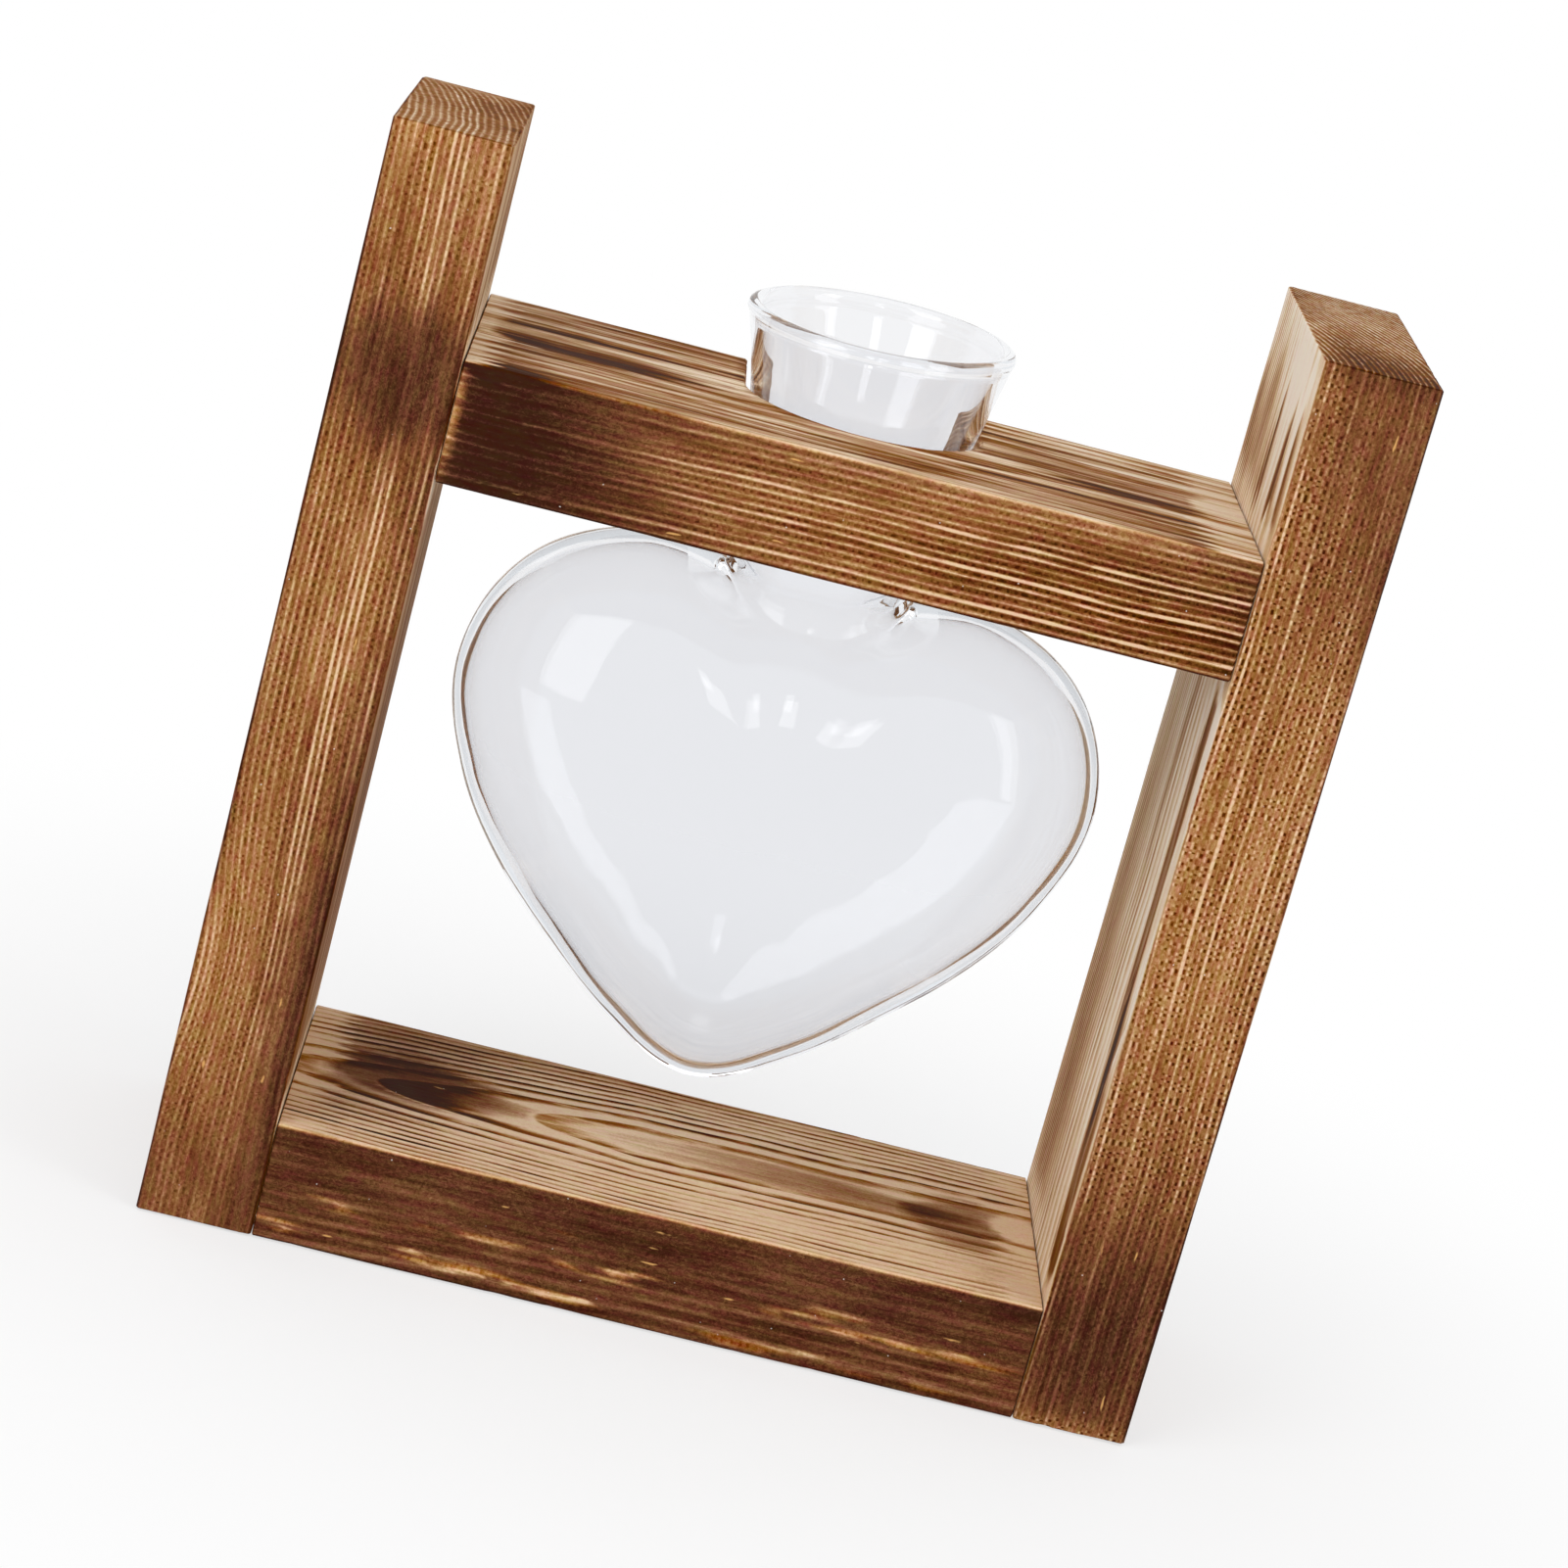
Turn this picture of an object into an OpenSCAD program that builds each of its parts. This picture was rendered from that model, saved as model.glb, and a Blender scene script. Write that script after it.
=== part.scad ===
// Tabletop vase: a blown-glass heart that hangs by its flared collar
// in a notched rail of a small four-piece timber stand.
// Millimetres, Z up. The origin is the middle of the stand's footprint, on the table.
// The front faces -Y, the notch opens to the back, +Y.

/* [Stand] */
// Overall width of the stand
stand_w = 165; // [152:0.5:190]
// Depth of every timber, front to back
stand_d = 57; // [52:0.5:66]
// Face width of both posts
post_w = 19; // [16:0.5:22]
// Height of the left post at its front edge
left_post_h = 182; // [172:0.2:200]
// Fall of the left post's sawn top towards the back
left_top_fall = 1.6; // [0:0.1:3]
// Height of the right post at its front edge
right_post_h = 181.2; // [172:0.2:200]
// Rise of the right post's sawn top towards the back
right_top_rise = 1.4; // [0:0.1:3]
// Height of the lower rail, which stands on the table between the posts
lower_rail_h = 20; // [16:0.5:24]
// Height of the upper rail
upper_rail_h = 19.9; // [16:0.1:22]
// Height of the upper rail's top face above the table
upper_rail_top = 148.3; // [142:0.1:160]
// Small flat worn along the long edges of the timbers
edge_ease = 0.5; // [0.2:0.1:1.5]

/* [Dowel joints] */
// Diameter of the fluted dowels
dowel_d = 8; // [6:0.5:10]
// Length of the fluted dowels
dowel_len = 30; // [24:1:34]
// Length of each dowel that sits in the post
dowel_in_post = 11; // [8:0.5:12]
// Distance between the two dowels of a joint
dowel_pitch = 29; // [22:0.5:36]
// Glue gap all round a dowel
glue_gap = 0.1; // [0.05:0.05:0.2]
// Air space at each end of a dowel
dowel_end_gap = 0.7; // [0.3:0.1:1]
// Chamfer on the dowel ends
dowel_chamfer = 1; // [0.5:0.1:1.5]
// Number of flutes round a dowel
flute_count = 10; // [6:1:14]
// Depth of a flute
flute_depth = 0.5; // [0.3:0.1:0.8]

/* [Notch] */
// Distance of the neck's axis from the back face of the rail
neck_from_back = 18.6; // [17:0.1:22]
// Gap between the neck at its seat and the notch
notch_gap = 0.6; // [0.5:0.1:1.5]

/* [Glass vase] */
// Outer diameter of the rim
rim_d = 44.2; // [41:0.2:48]
// Outer diameter of the throat, where the neck meets the heart
throat_d = 31.2; // [27:0.2:34]
// Height of the rim above the upper rail
rim_rise = 14.6; // [11:0.2:18]
// Depth of the neck's foot below the upper rail's top
neck_foot_drop = 26; // [23:0.5:28]
// Thickness of the glass
wall = 2; // [1.4:0.1:2.6]
// Thickness of the fire-polished bead on the rim
bead_d = 2.6; // [2.4:0.1:3.6]
// Sideways lean of the hand-finished collar, in degrees
rim_tilt_side = 2.2; // [0:0.1:3]
// Forward lean of the hand-finished collar, in degrees
rim_tilt_front = 1.6; // [0:0.1:3]
// Width of the heart across its lobes
heart_w = 108.6; // [98:0.2:114]
// Depth of the heart, front to back
heart_d = 50; // [40:0.5:56]
// Depth of the heart's centre below the upper rail's top
heart_drop = 65; // [62:0.5:68]
// Soft fillet between the neck and the heart
neck_fillet = 3; // [2:0.5:8]

/* [Hidden] */

// Radius of the heart's outline from its centre, as shares of half its width,
// at equal steps of angle from the tip (first) up to the cleft (last)
heart_radius_share = [0.950, 0.868, 0.818, 0.846, 0.924, 1.013, 1.004, 0.876, 0.690, 0.680];
// How square the heart's section is: 2 is an ellipse
pillow_power = 2.3;
// How the collar flares: 1 is a straight cone
flare_power = 1.6;

// Facets of the glass: round the neck, down the heart, along the neck, round the bead
round_steps = 48;
heart_steps = 26;
neck_steps = 5;
bead_steps = 7;
// How much closer the rings of the heart lie by the neck: 1 is evenly spaced
ring_crowding = 1.3;
// Half the arc of the bead that stands clear of the wall, in degrees
bead_half_arc = 128;
// Overrun of every cut past the face that it opens
overrun = 1;
$fn = 64;

rail_len = stand_w - 2 * post_w;
rail_end = rail_len / 2;
post_mid = rail_end + post_w / 2;
back_face = stand_d / 2;
neck_y = back_face - neck_from_back;
upper_dowel_z = upper_rail_top - upper_rail_h / 2;
lower_dowel_z = lower_rail_h / 2;
hole_d = dowel_d + 2 * glue_gap;
hole_in_post = dowel_in_post + dowel_end_gap;
hole_len = dowel_len + 2 * dowel_end_gap;

rim_r = rim_d / 2;
throat_r = throat_d / 2;
bead_r = bead_d / 2;
bead_mid_r = rim_r - bead_r;
bead_mid_z = rim_rise - bead_r;
// Height above the rail's top at which the straight wall ends under the bead
wall_top = bead_mid_z - bead_r * cos(180 - bead_half_arc);

// Outer radius of the glass at height z above the rail's top, from the neck's foot to the rim
function collar_r(z) =
    throat_r + (bead_mid_r + wall / 2 - throat_r)
    * pow((z + neck_foot_drop) / (wall_top + neck_foot_drop), flare_power);

seat_r = collar_r(0);
notch_r = seat_r + notch_gap;

// Radius of the heart's outline at an angle from the tip, 0 to 180 degrees
last_share = len(heart_radius_share) - 1;
function share(i) = heart_radius_share[i < 0 ? -i : i > last_share ? 2 * last_share - i : i];
function blend4(a, b, c, d, t) =
    (2 * b + (c - a) * t + (2 * a - 5 * b + 4 * c - d) * pow(t, 2)
     + (3 * b - a - 3 * c + d) * pow(t, 3)) / 2;
function outline_r(angle) =
    let (place = angle * last_share / 180, i = min(floor(place), last_share - 1), t = place - i)
    heart_w / 2 * blend4(share(i - 1), share(i), share(i + 1), share(i + 2), t);

// Distance from the heart's centre to its skin, towards a unit vector, with the skin set in
function heart_skin(u, inset) =
    let (flat = norm([u.x, u.z]),
         outline = outline_r(atan2(abs(u.x), -u.z)) - inset,
         half_depth = heart_d / 2 - inset)
    pow(pow(flat / outline, pillow_power) + pow(abs(u.y) / half_depth, pillow_power),
        -1 / pillow_power);

// The larger of two distances, rounded over where they meet
function soft_max(a, b, soft) = max(a, b) + pow(max(soft - abs(a - b), 0), 2) / (4 * soft);

// One ring of the heart, at an angle down from the neck's axis
function heart_ring(down, inset) =
    [for (k = [0 : round_steps - 1])
        let (turn = 360 * k / round_steps,
             u = [sin(down) * cos(turn), sin(down) * sin(turn), cos(down)],
             neck = down < 90 ? (throat_r - inset) / sin(down) : 0)
        u * soft_max(heart_skin(u, inset), neck, neck_fillet) - [0, 0, heart_drop]];

function heart_rings(inset) =
    let (first = atan2(throat_r - inset, heart_drop - neck_foot_drop))
    [for (i = [1 : heart_steps - 1])
        heart_ring(first + (180 - first) * pow(i / heart_steps, ring_crowding), inset)];

// One round ring of the neck; above the rail the collar bends over, more and more up to the rim
function neck_ring(r, z) =
    let (bend = max(z, 0) / rim_rise,
         side = bend * tan(rim_tilt_side),
         front = bend * tan(rim_tilt_front))
    [for (k = [0 : round_steps - 1])
        let (turn = 360 * k / round_steps, x = r * cos(turn), y = r * sin(turn))
        [x - side * z, y - front * z, z + side * x + front * y]];

function neck_rings(inset) =
    [for (i = [0 : neck_steps])
        let (z = -neck_foot_drop + (wall_top + neck_foot_drop) * i / neck_steps)
        neck_ring(collar_r(z) - inset, z)];

function bead_rings() =
    [for (i = [1 : bead_steps - 1])
        let (a = bead_half_arc * (1 - 2 * i / bead_steps))
        neck_ring(bead_mid_r + bead_r * sin(a), bead_mid_z + bead_r * cos(a))];

function reversed(rings) = [for (i = [len(rings) - 1 : -1 : 0]) rings[i]];

// All rings from the outer tip up over the rim and down the inside to the inner tip
vase_rings = concat(reversed(heart_rings(0)), neck_rings(0), bead_rings(),
                    reversed(neck_rings(wall)), heart_rings(wall));
ring_count = len(vase_rings);
outer_tip = [0, 0, -heart_drop - outline_r(0)];
inner_tip = outer_tip + [0, 0, wall];
tip_index = ring_count * round_steps;

function ring_point(i, k) = i * round_steps + k % round_steps;

vase_faces = concat(
    [for (k = [0 : round_steps - 1]) [tip_index, ring_point(0, k), ring_point(0, k + 1)]],
    [for (i = [0 : ring_count - 2], k = [0 : round_steps - 1])
        [ring_point(i, k), ring_point(i + 1, k), ring_point(i + 1, k + 1)]],
    [for (i = [0 : ring_count - 2], k = [0 : round_steps - 1])
        [ring_point(i, k), ring_point(i + 1, k + 1), ring_point(i, k + 1)]],
    [for (k = [0 : round_steps - 1])
        [tip_index + 1, ring_point(ring_count - 1, k + 1), ring_point(ring_count - 1, k)]]);

// Rectangle centred on the origin, with its four corners worn off
module eased_rect(w, d) {
    polygon([[-w / 2 + edge_ease, -d / 2], [w / 2 - edge_ease, -d / 2],
             [w / 2, -d / 2 + edge_ease], [w / 2, d / 2 - edge_ease],
             [w / 2 - edge_ease, d / 2], [-w / 2 + edge_ease, d / 2],
             [-w / 2, d / 2 - edge_ease], [-w / 2, -d / 2 + edge_ease]]);
}

// Waste above a post's saw cut, which runs from the front height to the back height
module saw_waste(front_h, back_h) {
    slope = (back_h - front_h) / stand_d;
    top = max(front_h, back_h) + 2 * overrun;
    reach = stand_d / 2 + overrun;
    translate([-post_w / 2 - overrun, 0, 0])
        rotate([90, 0, 90])
            linear_extrude(height = post_w + 2 * overrun)
                polygon([[-reach, front_h - slope * overrun], [reach, back_h + slope * overrun],
                         [reach, top], [-reach, top]]);
}

// The two dowel holes of one joint, centred on the joint's face, reaching along X
module dowel_holes(z) {
    for (side = [-1, 1])
        translate([0, side * dowel_pitch / 2, z])
            rotate([0, 90, 0])
                cylinder(d = hole_d, h = hole_len);
}

// Holes of a post whose inner face is at X = 0, with the rail towards +X
module joint_holes() {
    for (z = [lower_dowel_z, upper_dowel_z])
        translate([-hole_in_post, 0, 0])
            dowel_holes(z);
}

module post(front_h, back_h) {
    difference() {
        linear_extrude(height = max(front_h, back_h) + overrun) eased_rect(post_w, stand_d);
        saw_waste(front_h, back_h);
    }
}

module left_post() {
    color([0.53, 0.33, 0.18])
        difference() {
            translate([-post_mid, 0, 0]) post(left_post_h, left_post_h - left_top_fall);
            translate([-rail_end, 0, 0]) joint_holes();
        }
}

module right_post() {
    color([0.48, 0.29, 0.16])
        difference() {
            translate([post_mid, 0, 0]) post(right_post_h, right_post_h + right_top_rise);
            translate([rail_end, 0, 0]) mirror([1, 0, 0]) joint_holes();
        }
}

// A plain rail between the posts, with its underside at height z, drilled at both ends
module rail(z, h) {
    difference() {
        translate([-rail_end, 0, z + h / 2])
            rotate([90, 0, 90])
                linear_extrude(height = rail_len) eased_rect(stand_d, h);
        for (end = [0, 1])
            mirror([end, 0, 0])
                translate([-rail_end - hole_in_post, 0, 0])
                    dowel_holes(z + h / 2);
    }
}

// The U-shaped notch: a round front on the neck's axis and straight sides open to the back
module notch() {
    translate([0, neck_y, upper_rail_top - upper_rail_h - overrun])
        linear_extrude(height = upper_rail_h + 2 * overrun)
            union() {
                circle(r = notch_r);
                translate([-notch_r, 0]) square([2 * notch_r, neck_from_back + overrun]);
            }
}

module upper_rail() {
    color([0.56, 0.36, 0.20])
        difference() {
            rail(upper_rail_top - upper_rail_h, upper_rail_h);
            notch();
        }
}

module lower_rail() {
    color([0.45, 0.27, 0.15]) rail(0, lower_rail_h);
}

module glass_vase() {
    color([0.86, 0.92, 0.93, 0.35])
        translate([0, neck_y, upper_rail_top])
            polyhedron(points = concat([for (ring = vase_rings, p = ring) p],
                                       [outer_tip, inner_tip]),
                       faces = vase_faces, convexity = 8);
}

// One fluted dowel along X, starting at X = 0
module fluted_dowel() {
    r = dowel_d / 2;
    rotate([0, 90, 0])
        intersection() {
            linear_extrude(height = dowel_len)
                difference() {
                    circle(r = r);
                    for (k = [0 : flute_count - 1])
                        rotate(360 * k / flute_count)
                            translate([r, 0]) circle(r = flute_depth);
                }
            rotate_extrude()
                polygon([[0, 0], [r - dowel_chamfer, 0], [r, dowel_chamfer],
                         [r, dowel_len - dowel_chamfer], [r - dowel_chamfer, dowel_len],
                         [0, dowel_len]]);
        }
}

// The two dowels of the left joint at height z
module dowel_pair(z) {
    color([0.80, 0.64, 0.44])
        for (side = [-1, 1])
            translate([-rail_end - dowel_in_post, side * dowel_pitch / 2, z])
                fluted_dowel();
}

module upper_left_dowels() {
    dowel_pair(upper_dowel_z);
}

module upper_right_dowels() {
    mirror([1, 0, 0]) dowel_pair(upper_dowel_z);
}

module lower_left_dowels() {
    dowel_pair(lower_dowel_z);
}

module lower_right_dowels() {
    mirror([1, 0, 0]) dowel_pair(lower_dowel_z);
}

left_post();
right_post();
upper_rail();
lower_rail();
glass_vase();
upper_left_dowels();
upper_right_dowels();
lower_left_dowels();
lower_right_dowels();
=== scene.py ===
import itertools
import math

import bpy
import numpy as np
from mathutils import Matrix, Vector


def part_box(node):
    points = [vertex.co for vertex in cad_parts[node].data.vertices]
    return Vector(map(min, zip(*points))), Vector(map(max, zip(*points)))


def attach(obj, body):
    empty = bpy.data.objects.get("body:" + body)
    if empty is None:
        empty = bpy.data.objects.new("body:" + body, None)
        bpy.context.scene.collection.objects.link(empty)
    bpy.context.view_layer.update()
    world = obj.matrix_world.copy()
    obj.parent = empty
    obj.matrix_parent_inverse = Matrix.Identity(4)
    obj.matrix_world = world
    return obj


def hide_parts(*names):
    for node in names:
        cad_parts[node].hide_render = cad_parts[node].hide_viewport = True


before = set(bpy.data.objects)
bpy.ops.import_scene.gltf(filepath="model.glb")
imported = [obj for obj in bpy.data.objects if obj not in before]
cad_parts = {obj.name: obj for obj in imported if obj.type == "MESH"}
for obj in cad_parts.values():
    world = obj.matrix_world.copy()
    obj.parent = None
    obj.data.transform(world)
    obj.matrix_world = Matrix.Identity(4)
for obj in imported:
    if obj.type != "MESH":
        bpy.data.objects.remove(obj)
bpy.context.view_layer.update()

MM = 0.001

# The camera, as fitted to the corners of the timbers in the photograph
IMAGE_PX = 1601
FOCAL_PX = 4429
CENTRE_PX = (806, 670)
SENSOR_MM = 36
CAMERA_AT_MM = (-45.44, -677.82, 285.93)
CAMERA_TURN = -3.67
CAMERA_DIP = 14.68
CAMERA_ROLL = 15.03
CLIP_START_M = 0.01

# Places in the row frame and sizes, in millimetres: the inner faces of the posts, the rails, the
# middle of the neck and the notch round it
POST_INNER_X = 63.5
LOWER_RAIL_TOP = 20.0
RAIL_TOP = 148.3
RAIL_THICK = 19.9
NECK_Y = 9.9
NOTCH_R = 19.5
NOTCH_FLARE = 0.5

# Wood, in millimetres: spacing of the mesh along and across the grain, radius of the long arrises
# and of those at the ends, height of the brushed rings, slow unevenness, depth of the chips
GRID_ALONG = 1.6
GRID_ACROSS = 0.5
ARRIS = 0.7
END_ARRIS = 0.35
RELIEF = 0.015
UNEVEN = 0.05
CHIP = 0.35

# How far each post's sawn top lies under its highest point, at the front and at the back
TOP_DROPS = {"left_post": (0, 1.6), "right_post": (1.4, 0)}

# The bare, pale wood at the joints: its tone, its width on a post's inner face, and its width at
# the left and at the right end of a rail's top
BARE_TONE = 0.81
BARE_ON_POST = 2.2
BARE_ON_UPPER_RAIL = (1.6, 6.5)
BARE_ON_LOWER_RAIL = (3.8, 4.2)


def srgb(*rgb):
    """A colour of 0 to 255 as linear RGBA."""
    linear = [c / 255 / 12.92 if c <= 10 else ((c / 255 + 0.055) / 1.055) ** 2.4 for c in rgb]
    return (*linear, 1.0)


def add_node(tree, kind, settings=None, **inputs):
    """A shader node with its settings, and its inputs set or linked. s0, s1 name sockets by number."""
    made = tree.nodes.new("ShaderNode" + kind)
    for key, value in (settings or {}).items():
        setattr(made, key, value)
    for key, value in inputs.items():
        numbered = key[0] == "s" and key[1:].isdigit()
        socket = made.inputs[int(key[1:])] if numbered else made.inputs[key.replace("_", " ")]
        if isinstance(value, bpy.types.NodeSocket):
            tree.links.new(value, socket)
        else:
            socket.default_value = value
    return made


def calc(tree, operation, *values):
    """One Math node; returns its output."""
    inputs = {f"s{i}": value for i, value in enumerate(values)}
    return add_node(tree, "Math", {"operation": operation}, **inputs).outputs[0]


def product(tree, value, *others):
    """All the values multiplied together."""
    for other in others:
        value = calc(tree, "MULTIPLY", value, other)
    return value


def remap(tree, value, low, high, to_low=0.0, to_high=1.0):
    """A value from low to high eased into to_low to to_high."""
    made = add_node(tree, "MapRange", {"interpolation_type": "SMOOTHSTEP"}, s0=value,
                    s1=low, s2=high, s3=to_low, s4=to_high)
    return made.outputs[0]


def ramp(tree, value, stops):
    """A colour ramp through (place, colour) stops."""
    made = add_node(tree, "ValToRGB", s0=value)
    band = made.color_ramp
    while len(band.elements) < len(stops):
        band.elements.new(1.0)
    for element, (place, colour) in zip(band.elements, stops):
        element.position = place
        element.color = colour
    return made.outputs[0]


def attribute(tree, name, output="Fac"):
    return add_node(tree, "Attribute", {"attribute_name": name}).outputs[output]


def stretched(tree, vector, scale):
    """A vector with each part multiplied by scale's."""
    made = add_node(tree, "VectorMath", {"operation": "MULTIPLY"}, s0=vector, s1=scale)
    return made.outputs[0]


def noise(tree, vector, scale, detail=2.0, roughness=0.5, distortion=0.0):
    made = add_node(tree, "TexNoise", Vector=vector, Scale=scale, Detail=detail,
                    Roughness=roughness, Distortion=distortion)
    return made.outputs[0]


def grain_noise(tree, grain, quickness, *settings):
    """Noise about zero in the grain's own space, quicker or slower along the grain."""
    place = stretched(tree, grain, (quickness, 1.0, 1.0))
    return calc(tree, "SUBTRACT", noise(tree, place, *settings), 0.5)


# Rows of dots: how fast the beat runs along the grain, how far its phase drifts, and how fast
# that drift changes along a row and from row to row
BEAT, DRIFT, DRIFT_ALONG, DRIFT_ACROSS = 84.0, 14.0, 7.0, 0.8


def row_beats(tree, along, row):
    """A beat from -1 to 1 along the grain in each row, about evenly spaced, with a drifting phase."""
    place = add_node(tree, "CombineXYZ", X=calc(tree, "MULTIPLY", along, DRIFT_ALONG),
                     Y=calc(tree, "MULTIPLY", row, DRIFT_ACROSS)).outputs[0]
    phase = add_node(tree, "TexNoise", {"noise_dimensions": "2D"}, Vector=place, Scale=1.0,
                     Detail=2.0).outputs[0]
    return calc(tree, "SINE", calc(tree, "MULTIPLY_ADD", phase, DRIFT,
                                   calc(tree, "MULTIPLY", along, BEAT)))


def new_material(name):
    made = bpy.data.materials.new(name)
    made.use_nodes = True
    tree = made.node_tree
    shader = tree.nodes["Principled BSDF"]
    return made, tree, shader


# Wood

# A tone is the brightness of a colour, 0 to 1. These ramps turn it into the colour of wood.
STAINED = [(0.118, srgb(58, 29, 17)), (0.188, srgb(77, 42, 26)), (0.243, srgb(94, 54, 33)),
           (0.365, srgb(131, 81, 48)), (0.482, srgb(163, 112, 68)), (0.600, srgb(192, 143, 96)),
           (0.776, srgb(231, 188, 142))]
# BARE's palest stop is there for the painted light on the right post's inner face
BARE = [(0.118, srgb(58, 31, 18)), (0.188, srgb(77, 43, 22)), (0.306, srgb(109, 69, 43)),
        (0.424, srgb(141, 98, 65)), (0.541, srgb(171, 128, 91)), (0.659, srgb(196, 161, 123)),
        (0.776, srgb(221, 193, 159)), (0.860, srgb(236, 218, 193)), (0.960, srgb(248, 240, 226))]
# What each point of a timber's mesh tells its material, apart from its place in the grain
WOOD_ATTRIBUTES = ("ring", "tone", "contrast", "stain", "limit", "dotted", "streaky", "late")
# Golden dashes and specks of pale dust: stretch along the grain, scale, half width of a mark,
# share of the places left without one, colour
SPECKS = [((3.5, 1.0, 1.0), 0.45, 0.11, 0.70, (226, 172, 104)),
          ((20.0, 1.0, 1.0), 0.35, 0.055, 0.55, (238, 230, 222))]
# In rings: how far a light line fades out on both sides, from where to where the late wood
# darkens and then breaks off, the middle of a row of pits, and how far such a row fades out
LINE_FADE, LATE_RISE, LATE_BREAK = (0.38, 0.02), (0.30, 0.86), (1.0, 0.92)
PIT_ROW, PIT_FADE = 0.42, (0.34, 0.06)
# How much the fibre adds to the tone, and how softly the palest tone cuts it off
FIBRE_SHARE, SOFT_CUT = 0.19, 0.10
# The least and the most saturation, before scorched wood gets a little more
WARMTH = (0.85, 1.20)


def row_dots(tree, grain, ring, line):
    """Beads of light on the lines and dark pits in rows between them."""
    along = add_node(tree, "SeparateXYZ", Vector=grain).outputs[0]
    off_row = calc(tree, "SUBTRACT", calc(tree, "FRACT", ring), PIT_ROW)
    pit_row = remap(tree, calc(tree, "ABSOLUTE", off_row), *PIT_FADE)
    pits = remap(tree, row_beats(tree, along, calc(tree, "FLOOR", ring)), -0.2, 0.9, 0.25, -1.0)
    beads = remap(tree, row_beats(tree, along, calc(tree, "ROUND", ring)), -0.8, 0.8, -0.5, 0.4)
    return calc(tree, "MULTIPLY_ADD", pits, pit_row, calc(tree, "MULTIPLY", beads, line))


def with_specks(tree, colour, grain, stain):
    """The colour with short golden dashes along the grain and specks of pale dust caught in it."""
    shake = add_node(tree, "TexNoise", Vector=stretched(tree, grain, (8.0, 1.0, 1.0)), Scale=1.3)
    shake = stretched(tree, shake.outputs["Color"], (0.5, 0.5, 0.5))
    most = calc(tree, "MULTIPLY_ADD", stain, 0.65, 0.15)
    for stretch, scale, wide, share, tint in SPECKS:
        place = add_node(tree, "VectorMath", {"operation": "ADD"},
                         s0=stretched(tree, grain, stretch), s1=shake).outputs[0]
        cell = add_node(tree, "TexVoronoi", Vector=place, Scale=scale)
        near = remap(tree, cell.outputs["Distance"], wide, 0.35 * wide)
        picked = add_node(tree, "SeparateColor", Color=cell.outputs["Color"]).outputs[0]
        shown = product(tree, near, calc(tree, "GREATER_THAN", picked, share), most)
        colour = add_node(tree, "Mix", {"data_type": "RGBA"}, s0=shown, s6=colour,
                          s7=srgb(*tint)).outputs[2]
    return colour


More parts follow.
